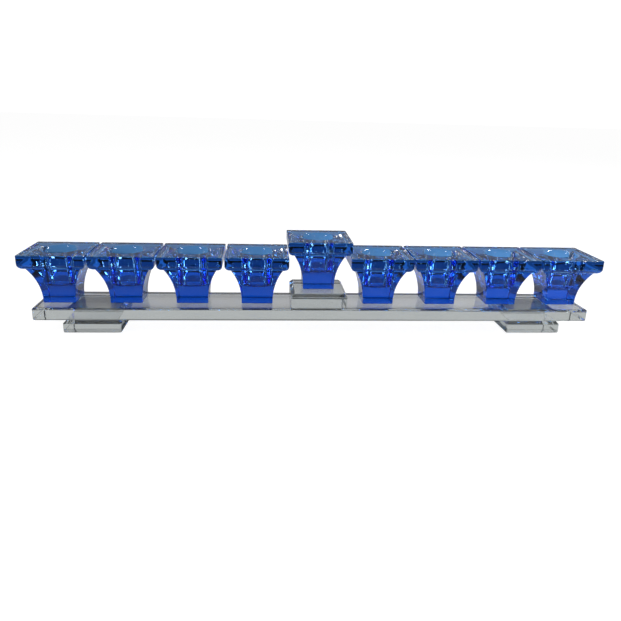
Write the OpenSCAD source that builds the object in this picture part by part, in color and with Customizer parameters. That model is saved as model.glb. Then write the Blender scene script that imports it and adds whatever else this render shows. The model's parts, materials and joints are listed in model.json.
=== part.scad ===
// Nine-light glass menorah: eight square pressed-glass cups in a row on a clear crystal bar,
// with the shamash (helper) cup raised on a block in the middle, and a foot under each end.
// Every piece is solid glass, bonded to its neighbour by a thin film of clear adhesive.
// Millimetres. +X runs along the bar, +Z is up and the front faces -Y. The origin lies on the
// surface the feet stand on, under the middle of the outer box.

/* [Cup] */
// Width of the square top of a cup
cup_w = 40; // [36:0.5:44]
// Height of a cup
cup_h = 32.5; // [30:0.5:36]
// Depth of the lip, from its top down to the crease where the flare begins
lip_h = 9; // [7:0.5:11]
// Radius of the round under the lip
lip_r = 3.6; // [3:0.2:4.6]
// Width of the waist, where the flared sides stand upright
waist_w = 20; // [18:0.5:22]
// Height of the waist above the underside
waist_z = 1.5; // [0.5:0.5:3]

/* [Candle well] */
// Diameter of the candle bore
bore_d = 20.5; // [17:0.5:21]
// Thickness of the solid glass below the bore
floor_h = 11; // [10:0.5:14]

/* [Row] */
// Distance between neighbouring cups
cup_pitch = 41.3; // [41:0.1:42]
// Distance from the shamash cup to the cups beside it, whose lips pass under its own
shamash_pitch = 39.4; // [39:0.1:42]
// How far the row of cups stands behind the middle of the bar
set_back = 3; // [0:0.5:5]

/* [Bar] */
// Length of the bar
bar_l = 354; // [350:1:360]
// Depth of the bar, front to back
bar_d = 36.5; // [34:0.5:40]
// Thickness of the bar
bar_h = 8; // [6:0.5:10]
// Bevel along the edges of the bar
bar_bevel = 0.8; // [0.4:0.1:1.2]

/* [Blocks] */
// Width of the riser and of each foot, along the bar
block_w = 35.5; // [32:0.5:40]
// Height of the riser under the shamash cup
riser_h = 9.8; // [8:0.1:12]
// Height of each foot
foot_h = 8; // [6:0.5:10]
// Bevel around the top of a block
block_bevel = 2.1; // [1.5:0.1:2.5]
// Arris on the other edges of a block
block_arris = 0.6; // [0.4:0.1:1]
// Distance from the middle of the bar to the middle of a foot
foot_x = 141.5; // [130:0.5:150]

/* [Adhesive] */
// Thickness of an adhesive film
film_h = 0.1; // [0.1:0.05:0.2]
// How far a film stops short of the edge of the smaller face
film_inset = 0.4; // [0.2:0.1:0.8]

/* [Hidden] */
$fn = 96;
over = 1; // how far a cutting shape runs past what it cuts

// Heights of the faces that the pieces stand on
bar_z = foot_h + film_h;
deck_z = bar_z + bar_h;
cup_z = deck_z + film_h;
riser_top_z = cup_z + riser_h;
shamash_z = riser_top_z + film_h;

// The bar reaches furthest forward and the cups furthest back, so the middle lies between
bar_y = -(set_back + cup_w / 2 - bar_d / 2) / 2;
row_y = bar_y + set_back;

// The flare is an arc that stands upright at the waist and ends at the crease under the lip
crease_z = cup_h - lip_h;
crease_x = cup_w / 2 - lip_r;
flare_rise = crease_z - waist_z;
flare_run = crease_x - waist_w / 2;
flare_r = (flare_rise * flare_rise + flare_run * flare_run) / (2 * flare_run);
flare_axis = waist_w / 2 + flare_r;

// Outermost half-width of a cup's underside, just below its waist
sole_w = 2 * (flare_axis - sqrt(flare_r * flare_r - waist_z * waist_z));

// Place along the bar of cup i, counted from 1 at the left, with four cups on each side
function cup_x(i) = i <= 4 ? -shamash_pitch - (4 - i) * cup_pitch
                           : shamash_pitch + (i - 5) * cup_pitch;

// A w by h rectangle standing on its lower side, with bevelled corners
module bevelled_outline(w, h, top, low) {
  polygon([[-w / 2 + low, 0], [w / 2 - low, 0], [w / 2, low], [w / 2, h - top],
           [w / 2 - top, h], [-w / 2 + top, h], [-w / 2, h - top], [-w / 2, low]]);
}

// A block of cut glass on z = 0, with bevels that meet in mitres at its corners
module cut_block(w, d, h, top, low, side) {
  intersection() {
    rotate([90, 0, 0])
      linear_extrude(d, center = true)
        bevelled_outline(w, h, top, low);
    rotate([90, 0, 90])
      linear_extrude(w, center = true)
        bevelled_outline(d, h, top, low);
    translate([0, -d / 2, 0])
      linear_extrude(h)
        bevelled_outline(w, d, side, side);
  }
}

// Side view of a cup: a flared stem under a lip with rounded lower edges
module cup_outline() {
  difference() {
    translate([-crease_x, 0])
      square([2 * crease_x, crease_z + over]);
    for (side = [-1, 1])
      translate([side * flare_axis, waist_z])
        circle(r = flare_r);
  }
  translate([-crease_x, crease_z])
    square([2 * crease_x, lip_h]);
  translate([-cup_w / 2, crease_z + lip_r])
    square([cup_w, lip_h - lip_r]);
  for (side = [-1, 1])
    translate([side * crease_x, crease_z + lip_r])
      circle(r = lip_r);
}

// One cup on z = 0: the same outline from the front and from the side, with a round bore
module cup() {
  color("royalblue", 0.7)
    difference() {
      intersection_for(turn = [0, 90])
        rotate([90, 0, turn])
          linear_extrude(cup_w, center = true)
            cup_outline();
      translate([0, 0, floor_h])
        cylinder(d = bore_d, h = cup_h - floor_h + over);
    }
}

module row_cup(i) {
  translate([cup_x(i), row_y, cup_z])
    cup();
}

module shamash_cup() {
  translate([0, row_y, shamash_z])
    cup();
}

module base_bar() {
  color("lightgray", 0.5)
    translate([0, bar_y, bar_z])
      cut_block(bar_l, bar_d, bar_h, bar_bevel, bar_bevel, bar_bevel);
}

module riser_block() {
  color("lightgray", 0.5)
    translate([0, bar_y, cup_z])
      cut_block(block_w, bar_d, riser_h, block_bevel, block_arris, block_arris);
}

module foot(side) {
  color("lightgray", 0.5)
    translate([side * foot_x, bar_y, 0])
      cut_block(block_w, bar_d, foot_h, block_bevel, block_arris, block_arris);
}

module film(w, d) {
  color("white", 0.3)
    linear_extrude(film_h)
      square([w, d], center = true);
}

// A film under each cup
module cup_films() {
  w = sole_w - 2 * film_inset;
  for (i = [1:8])
    translate([cup_x(i), row_y, deck_z])
      film(w, w);
  translate([0, row_y, riser_top_z])
    film(w, w);
}

module riser_film() {
  inset = block_arris + film_inset;
  translate([0, bar_y, deck_z])
    film(block_w - 2 * inset, bar_d - 2 * (bar_bevel + film_inset));
}

module foot_films() {
  inset = block_bevel + film_inset;
  for (side = [-1, 1])
    translate([side * foot_x, bar_y, foot_h])
      film(block_w - 2 * inset, bar_d - 2 * inset);
}

row_cup(1);  // cup_1
row_cup(2);  // cup_2
row_cup(3);  // cup_3
row_cup(4);  // cup_4
row_cup(5);  // cup_5
row_cup(6);  // cup_6
row_cup(7);  // cup_7
row_cup(8);  // cup_8
shamash_cup();
base_bar();
riser_block();
foot(-1);  // left_foot
foot(1);  // right_foot
cup_films();
riser_film();
foot_films();
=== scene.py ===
"""Looks for the nine-light glass menorah: pressed blue glass cups on cut clear crystal.

Lengths are metres unless a name ends in _MM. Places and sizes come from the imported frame.
"""

import json
import math

import bmesh
import bpy
from mathutils import Matrix, Vector


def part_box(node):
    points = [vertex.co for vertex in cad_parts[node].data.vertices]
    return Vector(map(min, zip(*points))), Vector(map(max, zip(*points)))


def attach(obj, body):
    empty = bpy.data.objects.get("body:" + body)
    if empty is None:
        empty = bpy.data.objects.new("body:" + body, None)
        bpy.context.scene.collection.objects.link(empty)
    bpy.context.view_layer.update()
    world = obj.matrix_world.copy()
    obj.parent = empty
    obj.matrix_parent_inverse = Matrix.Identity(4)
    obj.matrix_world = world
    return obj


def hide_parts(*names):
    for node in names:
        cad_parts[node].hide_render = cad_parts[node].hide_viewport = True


MM = 0.001
QUARTER = math.pi / 2

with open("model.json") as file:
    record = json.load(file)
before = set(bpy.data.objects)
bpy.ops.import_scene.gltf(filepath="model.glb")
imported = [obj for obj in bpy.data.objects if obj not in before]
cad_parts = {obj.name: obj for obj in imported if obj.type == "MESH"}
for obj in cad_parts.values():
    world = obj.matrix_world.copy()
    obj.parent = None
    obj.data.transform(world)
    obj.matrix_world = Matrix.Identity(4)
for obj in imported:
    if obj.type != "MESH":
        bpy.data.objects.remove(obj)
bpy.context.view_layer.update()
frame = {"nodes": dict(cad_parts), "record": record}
MOUNTS = {m["name"]: m for m in frame["record"]["mounts"]}
CUPS = {f"cup_{i}": f"socket_{i}" for i in range(1, 9)}
CUPS["shamash_cup"] = "shamash_socket"
FILMS = ("cup_films", "riser_film", "foot_films")

# ---------------------------------------------------------------- camera
CAMERA_AT = (-0.0357, -0.3846, 0.1382)
CAMERA_YAW = math.radians(4.73)
CAMERA_PITCH = math.radians(18.61)
CAMERA_ROLL = math.radians(1.69)
CAMERA_LENS_MM = 35.26
CAMERA_SENSOR_MM = 36.0
CAMERA_NEAREST = 0.01


def add_camera():
    """The photograph's camera: left of the middle and in front, looking down on the row."""
    forward = Vector((
        math.sin(CAMERA_YAW) * math.cos(CAMERA_PITCH),
        math.cos(CAMERA_YAW) * math.cos(CAMERA_PITCH),
        -math.sin(CAMERA_PITCH),
    ))
    level_right = Vector((math.cos(CAMERA_YAW), -math.sin(CAMERA_YAW), 0))
    level_up = level_right.cross(forward)
    right = level_right * math.cos(CAMERA_ROLL) + level_up * math.sin(CAMERA_ROLL)
    up = level_up * math.cos(CAMERA_ROLL) - level_right * math.sin(CAMERA_ROLL)
    data = bpy.data.cameras.new("camera")
    data.lens = CAMERA_LENS_MM
    data.sensor_width = CAMERA_SENSOR_MM
    data.clip_start = CAMERA_NEAREST
    camera = bpy.data.objects.new("camera", data)
    bpy.context.scene.collection.objects.link(camera)
    turn = Matrix((right, up, -forward)).transposed().to_4x4()
    camera.matrix_world = Matrix.Translation(CAMERA_AT) @ turn
    bpy.context.scene.camera = camera


# ---------------------------------------------------------------- profile of a cup
# A profile point is (half-width or radius, height, normal outwards, normal upwards, form),
# where form is SQUARE on the outside of the cup and ROUND in its well.
SQUARE = 0
ROUND = 1
WAIST_Z = 1.5 * MM
WAIST_W = 20.0 * MM
LIP_H = 9.0 * MM
LIP_R = 3.6 * MM
VERTICAL_EDGE_R = 0.7 * MM
SOLE_EDGE_R = 0.5 * MM
SOLE_SPREAD = 0.03 * MM
LIP_TOP_R = 0.45 * MM
CREASE_HALF = 0.15 * MM
MOUTH_R = 2.0 * MM
FLOOR_CORNER_R = 2.5 * MM
SOLE_ROWS = (0.0, 0.5, 0.955)
FLOOR_ROWS = (0.6, 0.0)
EDGE_STEPS = 4
FLARE_STEPS = 26
LIP_STEPS = 10
WELL_STEPS = 5
FLAT_STEPS = 14
CORNER_STEPS = 6
ON_AXIS = 1e-7


def arc(centre, radius, start, end, steps, inside=1):
    """Square profile points along an arc; inside is -1 where the glass lies outside the circle."""
    points = []
    for i in range(steps + 1):
        a = start + (end - start) * i / steps
        c, s = math.cos(a), math.sin(a)
        points.append((centre[0] + radius * c, centre[1] + radius * s, inside * c, inside * s, SQUARE))
    return points


def rounded(path):
    """Round profile points for a path of (radius, height, corner radius), with glass on its left."""
    points = []
    for (x0, z0, _), (x1, z1, r), (x2, z2, _) in zip(path, path[1:], path[2:]):
        d0 = Vector((x1 - x0, z1 - z0)).normalized()
        d1 = Vector((x2 - x1, z2 - z1)).normalized()
        turn = math.asin(max(-1.0, min(1.0, d0.x * d1.y - d0.y * d1.x)))
        n0 = Vector((d0.y, -d0.x))
        start = Vector((x1, z1)) - d0 * r * math.tan(abs(turn) / 2)
        side = 1 if turn > 0 else -1
        centre = start - side * r * n0
        for i in range(WELL_STEPS + 1):
            t = turn * i / WELL_STEPS
            c, s = math.cos(t), math.sin(t)
            n = Vector((n0.x * c - n0.y * s, n0.x * s + n0.y * c))
            at = centre + side * r * n
            points.append((at.x, at.y, n.x, n.y, ROUND))
    return points


def cup_profile(width, height, bore_r, floor_z):
    """The rows of a cup from the middle of its sole, out and up to its lip, and down its well.

    Returns the rows, and how many of them lie below the crease and below the rim.
    """
    half, waist = width / 2, WAIST_W / 2
    crease_x, crease_z = half - LIP_R, height - LIP_H
    rise, run = crease_z - WAIST_Z, crease_x - waist
    flare_r = (rise * rise + run * run) / (2 * run)
    flare_at = (waist + flare_r, WAIST_Z)
    crease = math.atan2(rise, crease_x - flare_at[0])
    sole_at = (waist + SOLE_SPREAD - SOLE_EDGE_R, SOLE_EDGE_R)
    sole_end = math.atan2(SOLE_EDGE_R - WAIST_Z, sole_at[0] + SOLE_EDGE_R - flare_at[0]) % math.tau
    rows = [(sole_at[0] * f, 0, 0, -1, SQUARE) for f in SOLE_ROWS]
    rows += arc(sole_at, SOLE_EDGE_R, -QUARTER, 0, EDGE_STEPS)
    rows += arc(flare_at, flare_r, sole_end, crease + CREASE_HALF / flare_r, FLARE_STEPS, -1)[1:]
    below_crease = len(rows)
    rows += arc((crease_x, crease_z + LIP_R), LIP_R, CREASE_HALF / LIP_R - QUARTER, 0, LIP_STEPS)
    below_rim = len(rows)
    rows += arc((half - LIP_TOP_R, height - LIP_TOP_R), LIP_TOP_R, 0, QUARTER, EDGE_STEPS)
    rows += rounded([
        (half, height, 0),
        (bore_r, height, MOUTH_R),
        (bore_r, floor_z, FLOOR_CORNER_R),
        (0, floor_z, 0),
    ])
    rows += [(rows[-1][0] * f, floor_z, 0, 1, ROUND) for f in FLOOR_ROWS]
    return rows, below_crease, below_rim


# ---------------------------------------------------------------- mesh of a cup
def columns():
    """Directions round a cup: (side turn, place along the flat from -1 to 1, angle in the corner)."""
    out = []
    for side in range(4):
        out += [(side, -1 + 2 * i / FLAT_STEPS, 0.0) for i in range(FLAT_STEPS + 1)]
        out += [(side, 1.0, QUARTER * i / CORNER_STEPS) for i in range(1, CORNER_STEPS)]
    return out


def square_point(h, z, nr, nz, side, along, corner):
    """Point and normal on a square of half-width h with rounded corners."""
    r = min(VERTICAL_EDGE_R, h)
    c, s = math.cos(corner), math.sin(corner)
    x, y = h - r + r * c, (h - r) * along + r * s
    lean = c + s if corner else 1.0
    normal = Vector((nr * c, nr * s, nz * lean))
    turn = Matrix.Rotation(side * QUARTER, 3, "Z")
    return turn @ Vector((x, y, z)), turn @ normal


def round_point(h, z, nr, nz, a):
    """Point and normal on a circle of radius h, at angle a."""
    c, s = math.cos(a), math.sin(a)
    return Vector((h * c, h * s, z)), Vector((nr * c, nr * s, nz))


def cup_mesh(name, width, height, bore_r, floor_z):
    """A closed cup standing on z = 0, with a normal worked out for each vertex.

    Its material slots are 0 below the crease, 1 on the sides of the lip, 2 on its top and well.
    """
    profile, below_crease, below_rim = cup_profile(width, height, bore_r, floor_z)
    cols = columns()
    n = len(cols)
    verts, normals = [], []
    for h, z, nr, nz, form in profile:
        if h < ON_AXIS:
            verts.append(Vector((0, 0, z)))
            normals.append(Vector((0, 0, nz)))
            continue
        for k, (side, along, corner) in enumerate(cols):
            if form == ROUND:
                point, normal = round_point(h, z, nr, nz, math.tau * (k - FLAT_STEPS / 2) / n)
            else:
                point, normal = square_point(h, z, nr, nz, side, along, corner)
            verts.append(point)
            normals.append(normal)
    faces = [(0, 1 + (k + 1) % n, 1 + k) for k in range(n)]
    rings = len(profile) - 2
    for i in range(rings - 1):
        a, b = 1 + i * n, 1 + (i + 1) * n
        faces += [(a + k, a + (k + 1) % n, b + (k + 1) % n, b + k) for k in range(n)]
    last, middle = 1 + (rings - 1) * n, 1 + rings * n
    faces += [(last + k, last + (k + 1) % n, middle) for k in range(n)]
    mesh = bpy.data.meshes.new(name)
    mesh.from_pydata(verts, [], faces)
    mesh.update()
    for p in mesh.polygons:
        p.use_smooth = True
        p.material_index = (p.index >= n * below_crease) + (p.index >= n * below_rim)
    mesh.normals_split_custom_set_from_vertices([v.normalized() for v in normals])
    return mesh


# ---------------------------------------------------------------- cut crystal
POLISHED_EDGE = 0.12 * MM
POLISHED_SEGMENTS = 2
OVERLAP = 0.15 * MM
SAME_PLACE_DIGITS = 7
LEVEL_WITHIN = 1e-6
FLAT_WITHIN = 0.02


def crystal_mesh(name, node, top_up=0.0, bottom_down=0.0):
    """The node's own convex outline as clean faces with polished edges.

    top_up and bottom_down carry its flat ends through a film of adhesive, so that light passes.
    """
    low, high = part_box(node)
    bm = bmesh.new()
    seen = set()
    for v in frame["nodes"][node].data.vertices:
        key = tuple(round(c, SAME_PLACE_DIGITS) for c in v.co)
        if key not in seen:
            seen.add(key)
            new = bm.verts.new(v.co)
            if abs(new.co.z - high.z) < LEVEL_WITHIN:
                new.co.z += top_up
            if abs(new.co.z - low.z) < LEVEL_WITHIN:
                new.co.z -= bottom_down
    bmesh.ops.convex_hull(bm, input=bm.verts)
    bmesh.ops.dissolve_limit(bm, angle_limit=FLAT_WITHIN, verts=bm.verts, edges=bm.edges)
    bmesh.ops.bevel(bm, geom=bm.edges[:], offset=POLISHED_EDGE, segments=POLISHED_SEGMENTS,
                    profile=0.5, affect="EDGES", clamp_overlap=True)
    bmesh.ops.recalc_face_normals(bm, faces=bm.faces)
    mesh = bpy.data.meshes.new(name)
    bm.to_mesh(mesh)
    bm.free()
    return mesh


def link(name, mesh, materials, *nodes, slot, at=(0, 0, 0)):
    """Puts a finished piece in the scene, in place of the CAD nodes it stands for."""
    piece = bpy.data.objects.new(name, mesh)
    bpy.context.scene.collection.objects.link(piece)
    piece.location = at
    for material in materials:
        piece.data.materials.append(material)
    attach(piece, "root")
    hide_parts(*nodes)


# ---------------------------------------------------------------- glass
# A coat's colour tints each crossing of a face. Cups have no body colour: in Cycles a volume
# goes wrong on a mesh whose faces have several materials.
COAT = (0.008, 0.13, 0.95)
THIN_COAT = (0.022, 0.2, 0.97)
UNCOATED = (1, 1, 1)
PRESSED_IOR = 1.5
CRYSTAL_IOR = 1.52
CRYSTAL_TINT = (0.35, 0.62, 0.6)
CRYSTAL_DENSITY = 6
# Finishes are (width of a ripple in mm, its height in mm, roughness in the middle of a smear).
PRESSED_FINISH = (9, 0.03, 0.05)
CRYSTAL_FINISH = (25, 0.01, 0.03)
RIPPLE_DETAIL = 1.0
SMEAR_SCALE = 60.0
SMEAR_DETAIL = 6.0
SMEAR_FROM = 0.45
SMEAR_FULL = 0.8


def ramp(nt, from_min, from_max, to_min, to_max):
    """A node that carries one range of values to another and stops at its ends."""
    node = nt.nodes.new("ShaderNodeMapRange")
    node.inputs["From Min"].default_value = from_min
    node.inputs["From Max"].default_value = from_max
    node.inputs["To Min"].default_value = to_min
    node.inputs["To Max"].default_value = to_max
    return node


def noise(nt, scale, detail):
    node = nt.nodes.new("ShaderNodeTexNoise")
    node.inputs["Scale"].default_value = scale
    node.inputs["Detail"].default_value = detail
    return node


def glass(name, ior, coat, finish):
    """Clear glass with slight ripples and smears, and a coat that tints each crossing."""
    ripple_mm, ripple_height_mm, smear = finish
    material = bpy.data.materials.new(name)
    material.use_nodes = True
    nt = material.node_tree
    nt.nodes.clear()
    out = nt.nodes.new("ShaderNodeOutputMaterial")
    surface = nt.nodes.new("ShaderNodeBsdfPrincipled")
    surface.inputs["Base Color"].default_value = (*coat, 1)
    surface.inputs["Transmission Weight"].default_value = 1.0
    surface.inputs["IOR"].default_value = ior
    where = nt.nodes.new("ShaderNodeTexCoord")
    ripple = noise(nt, 1 / (ripple_mm * MM), RIPPLE_DETAIL)
    bump = nt.nodes.new("ShaderNodeBump")
    bump.inputs["Distance"].default_value = ripple_height_mm * MM
    bump.inputs["Strength"].default_value = 1.0
    smears = noise(nt, SMEAR_SCALE, SMEAR_DETAIL)
    level = ramp(nt, SMEAR_FROM, SMEAR_FULL, 0.0, smear)
    nt.links.new(where.outputs["Object"], ripple.inputs["Vector"])
    nt.links.new(where.outputs["Object"], smears.inputs["Vector"])
    nt.links.new(ripple.outputs["Fac"], bump.inputs["Height"])
    nt.links.new(bump.outputs["Normal"], surface.inputs["Normal"])
    nt.links.new(smears.outputs["Fac"], level.inputs["Value"])
    nt.links.new(level.outputs["Result"], surface.inputs["Roughness"])
    nt.links.new(surface.outputs["BSDF"], out.inputs["Surface"])
    return material


def tint_body(material, tint, density):
    """Colour by depth, for a piece whose faces all have this one material."""
    nt = material.node_tree
    absorb = nt.nodes.new("ShaderNodeVolumeAbsorption")
    absorb.inputs["Color"].default_value = (*tint, 1)
    absorb.inputs["Density"].default_value = density
    out = nt.nodes["Material Output"]
    nt.links.new(absorb.outputs["Volume"], out.inputs["Volume"])


# ---------------------------------------------------------------- stage
# The camera sees white paper. The glass sees bands of a dimmer room, tuned to the photograph, over a floor
# painted darker in front as shade.
FLOOR_DROP = 0.1 * MM
FLOOR_REACH = 6.0
FLOOR_GREY = 0.62
# Painted shade: to the glass, the floor's grey falls towards the front between these y.
FLOOR_PAINTED_SHADE_Y = (-0.16, -0.05)
PAPER_WHITE = 0.965
SHADE_GREY = 0.2
WORLD_WHITE = 1.1
WALL_LEVEL = 0.50
CEILING_LEVEL = 0.035
LOW_LEVEL = 0.2
FRONT_LEVEL = 0.12
BACK_FROM = 0.15
WALL_FROM = math.sin(math.radians(14.0))
WALL_FULL = math.sin(math.radians(16.5))
WALL_TOP = math.sin(math.radians(28))
CEILING_FROM = math.sin(math.radians(36))
# Softboxes are name: (place, (width, height), watts). All of them face the middle of the base.
SOFTBOXES = {
    "softbox_right": ((0.8, 0.2, 0.8), (0.4, 0.3), 10),
    "softbox_left": ((-0.9, -0.5, 0.8), (0.3, 0.4), 4),
}
GLASS_BOUNCES = 24
GLOSSY_BOUNCES = 8


def add_stage():
    """A floor: white paper with a soft shadow to the camera; to the glass grey, with painted shade
    darkening it in front.
    """
    mesh = bpy.data.meshes.new("floor")
    r, z = FLOOR_REACH, -FLOOR_DROP
    mesh.from_pydata([(-r, -r, z), (r, -r, z), (r, r, z), (-r, r, z)], [], [(0, 1, 2, 3)])
    floor = bpy.data.objects.new("floor", mesh)
    bpy.context.scene.collection.objects.link(floor)
    material = bpy.data.materials.new("pale_paper")
    material.use_nodes = True
    nt = material.node_tree
    nt.nodes.clear()
    out = nt.nodes.new("ShaderNodeOutputMaterial")
    where = nt.nodes.new("ShaderNodeTexCoord")
    split = nt.nodes.new("ShaderNodeSeparateXYZ")
    # Painted shade: the paper's grey that the glass sees darkens towards the front.
    front = ramp(nt, *FLOOR_PAINTED_SHADE_Y, FLOOR_GREY * FRONT_LEVEL, FLOOR_GREY)
    paper = nt.nodes.new("ShaderNodeBsdfDiffuse")
    glow = nt.nodes.new("ShaderNodeEmission")
    glow.inputs["Strength"].default_value = PAPER_WHITE
    shade = nt.nodes.new("ShaderNodeBsdfDiffuse")
    shade.inputs["Color"].default_value = (SHADE_GREY, SHADE_GREY, SHADE_GREY, 1)
    both = nt.nodes.new("ShaderNodeAddShader")
    path = nt.nodes.new("ShaderNodeLightPath")
    mix = nt.nodes.new("ShaderNodeMixShader")
    nt.links.new(where.outputs["Object"], split.inputs[0])
    nt.links.new(split.outputs["Y"], front.inputs["Value"])
    nt.links.new(front.outputs["Result"], paper.inputs["Color"])
    nt.links.new(shade.outputs[0], both.inputs[0])
    nt.links.new(glow.outputs[0], both.inputs[1])
    nt.links.new(path.outputs["Is Camera Ray"], mix.inputs[0])
    nt.links.new(paper.outputs[0], mix.inputs[1])
    nt.links.new(both.outputs[0], mix.inputs[2])
    nt.links.new(mix.outputs[0], out.inputs["Surface"])
    mesh.materials.append(material)


def add_light(name, at, size, watts):
    data = bpy.data.lights.new(name, "AREA")
    data.shape = "RECTANGLE"
    data.size, data.size_y = size
    data.energy = watts
    lamp = bpy.data.objects.new(name, data)
    bpy.context.scene.collection.objects.link(lamp)
    lamp.location = at
    lamp.rotation_euler = (-Vector(at)).to_track_quat("-Z", "Y").to_euler()


def add_world():
    """White to the camera. To the glass, a bright wall behind between a dim low band and ceiling."""
    world = bpy.data.worlds.new("studio")
    world.use_nodes = True
    nt = world.node_tree
    nt.nodes.clear()
    out = nt.nodes.new("ShaderNodeOutputWorld")
    where = nt.nodes.new("ShaderNodeTexCoord")
    split = nt.nodes.new("ShaderNodeSeparateXYZ")
    low = ramp(nt, WALL_FROM, WALL_FULL, LOW_LEVEL / WALL_LEVEL, 1.0)
    height = ramp(nt, WALL_TOP, CEILING_FROM, WALL_LEVEL, CEILING_LEVEL)
    back = ramp(nt, -BACK_FROM, BACK_FROM, FRONT_LEVEL, 1.0)
    level = nt.nodes.new("ShaderNodeMath")
    level.operation = "MULTIPLY"
    total = nt.nodes.new("ShaderNodeMath")
    total.operation = "MULTIPLY"
    room = nt.nodes.new("ShaderNodeBackground")
    room.inputs["Color"].default_value = (1, 1, 1, 1)
    white = nt.nodes.new("ShaderNodeBackground")
    white.inputs["Color"].default_value = (1, 1, 1, 1)
    white.inputs["Strength"].default_value = WORLD_WHITE
    path = nt.nodes.new("ShaderNodeLightPath")
    mix = nt.nodes.new("ShaderNodeMixShader")
    nt.links.new(where.outputs["Generated"], split.inputs[0])
    nt.links.new(split.outputs["Z"], low.inputs["Value"])
    nt.links.new(split.outputs["Z"], height.inputs["Value"])
    nt.links.new(split.outputs["Y"], back.inputs["Value"])
    nt.links.new(height.outputs["Result"], level.inputs[0])
    nt.links.new(back.outputs["Result"], level.inputs[1])
    nt.links.new(level.outputs[0], total.inputs[0])
    nt.links.new(low.outputs["Result"], total.inputs[1])
    nt.links.new(total.outputs[0], room.inputs["Strength"])
    nt.links.new(path.outputs["Is Camera Ray"], mix.inputs[0])
    nt.links.new(room.outputs[0], mix.inputs[1])
    nt.links.new(white.outputs[0], mix.inputs[2])
    nt.links.new(mix.outputs[0], out.inputs["Surface"])
    bpy.context.scene.world = world


# ---------------------------------------------------------------- build
add_camera()
add_stage()
add_world()
for softbox, (place, size, watts) in SOFTBOXES.items():
    add_light(softbox, place, size, watts)
scene = bpy.context.scene
scene.view_settings.view_transform = "Standard"
scene.cycles.max_bounces = GLASS_BOUNCES
scene.cycles.transmission_bounces = GLASS_BOUNCES
scene.cycles.transparent_max_bounces = GLASS_BOUNCES
scene.cycles.glossy_bounces = GLOSSY_BOUNCES

blue = glass("blue_coated_glass", PRESSED_IOR, COAT, PRESSED_FINISH)
lip = glass("lip_coated_glass", PRESSED_IOR, THIN_COAT, PRESSED_FINISH)
bare = glass("bare_pressed_glass", PRESSED_IOR, UNCOATED, PRESSED_FINISH)
clear = glass("clear_crystal", CRYSTAL_IOR, UNCOATED, CRYSTAL_FINISH)
tint_body(clear, CRYSTAL_TINT, CRYSTAL_DENSITY)

for cup, socket in CUPS.items():
    low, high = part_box(cup)
    mount = MOUNTS[socket]
    bore = mount["dims"]
    sole = low.z - OVERLAP
    floor_z = mount["pos_m"][2] - bore["length_mm"] * MM / 2 - sole
    name = cup + "_glass"
    mesh = cup_mesh(name, high.x - low.x, high.z - sole, bore["r_mm"] * MM, floor_z)
    middle = ((low.x + high.x) / 2, (low.y + high.y) / 2, sole)
    link(name, mesh, (blue, lip, bare), cup, slot="blue_glass", at=middle)
for node, up, down in (("left_foot", OVERLAP, 0), ("right_foot", OVERLAP, 0), ("riser_block", 0, OVERLAP)):
    name = node + "_glass"
    link(name, crystal_mesh(name, node, up, down), (clear,), node, slot="clear_glass")
bar = crystal_mesh("base_bar_glass", "base_bar")
link("base_bar_glass", bar, (clear,), "base_bar", *FILMS, slot="clear_glass")
